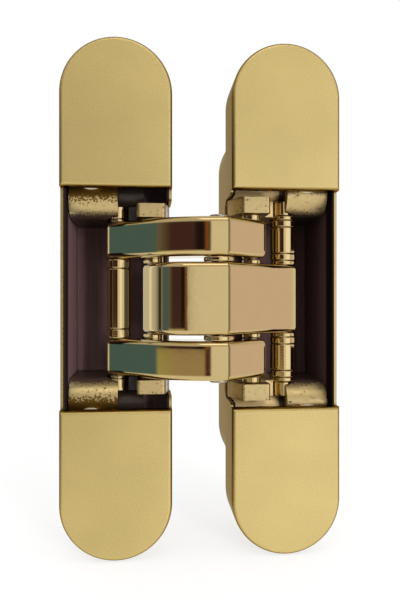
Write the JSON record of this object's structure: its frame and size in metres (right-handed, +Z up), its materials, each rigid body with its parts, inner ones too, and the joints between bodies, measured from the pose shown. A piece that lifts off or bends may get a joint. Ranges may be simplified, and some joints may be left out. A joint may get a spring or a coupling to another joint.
{
  "type": "concealed door hinge",
  "caption": "Concealed door hinge laid open: oblong cast leaves with rounded end caps, joined by crossing arms on pins that fold into the leaves' pockets as the door shuts.",
  "frame": {"origin": "midway between the frame leaf's two fixing holes, on the back seat of its flange", "axes": "+X across the open hinge from the frame leaf to the door leaf, +Y into the timber, +Z up the door edge along the leaves"},
  "size_m": [0.061, 0.0316, 0.112],
  "materials": {
    "satin_gold_caps": "satin",
    "polished_gold_arms": "polished",
    "gold_plated_castings": "satin",
    "gold_plated_turnings": "polished",
    "bright_steel_pins": "polished",
    "zinc_plated_screws": "satin"
  },
  "bodies": {
    "frame_leaf": {"frame_housing": "gold_plated_castings", "frame_cap_upper": "satin_gold_caps", "frame_cap_lower": "satin_gold_caps", "frame_carrier_upper": "gold_plated_castings", "frame_carrier_lower": "gold_plated_castings", "frame_adjusting_screws": "zinc_plated_screws", "frame_pivot_pin": "bright_steel_pins", "frame_pivot_spacers": "gold_plated_turnings"},
    "centre_arm_set": {"centre_arm": "polished_gold_arms", "door_slide_pin": "bright_steel_pins", "door_slide_rings": "gold_plated_turnings", "door_slide_collars": "gold_plated_turnings", "door_slide_bushes": "gold_plated_turnings", "door_slide_rollers": "gold_plated_turnings"},
    "outer_arm_set": {"outer_arm_upper": "polished_gold_arms", "outer_arm_lower": "polished_gold_arms", "crossing_pin": "bright_steel_pins", "crossing_washers": "gold_plated_turnings", "frame_slide_pin": "bright_steel_pins", "frame_slide_tube": "gold_plated_turnings", "frame_slide_rings": "gold_plated_turnings", "frame_slide_washers": "gold_plated_turnings", "frame_slide_rollers": "gold_plated_turnings"},
    "door_leaf": {"door_housing": "gold_plated_castings", "door_cap_upper": "satin_gold_caps", "door_cap_lower": "satin_gold_caps", "door_carrier_upper": "gold_plated_castings", "door_carrier_lower": "gold_plated_castings", "door_adjusting_screws": "zinc_plated_screws", "door_pivot_pin": "bright_steel_pins", "door_pivot_sleeve": "gold_plated_turnings", "door_pivot_washers": "gold_plated_turnings"}
  },
  "joints": [
    {"name": "centre_arm_pivot", "type": "hinge", "parent": "frame_leaf", "child": "centre_arm_set", "pos_m": [0.008, -0.004, 0], "axis": [0, 0, -1], "range_deg": [0, 104.43]},
    {"name": "arm_crossing", "type": "hinge", "parent": "centre_arm_set", "child": "outer_arm_set", "pos_m": [0.022, -0.012, 0], "axis": [0, 0, 1], "range_deg": [0, 27.75]},
    {"name": "door_leaf_pivot", "type": "hinge", "parent": "outer_arm_set", "child": "door_leaf", "pos_m": [0.0305, -0.004, 0], "axis": [0, 0, -1], "range_deg": [0, 103.35]}
  ],
  "couplings": [
    {"joint": "arm_crossing", "follows": "centre_arm_pivot", "ratio": 0.26531},
    {"joint": "door_leaf_pivot", "follows": "centre_arm_pivot", "ratio": 0.98885}
  ]
}
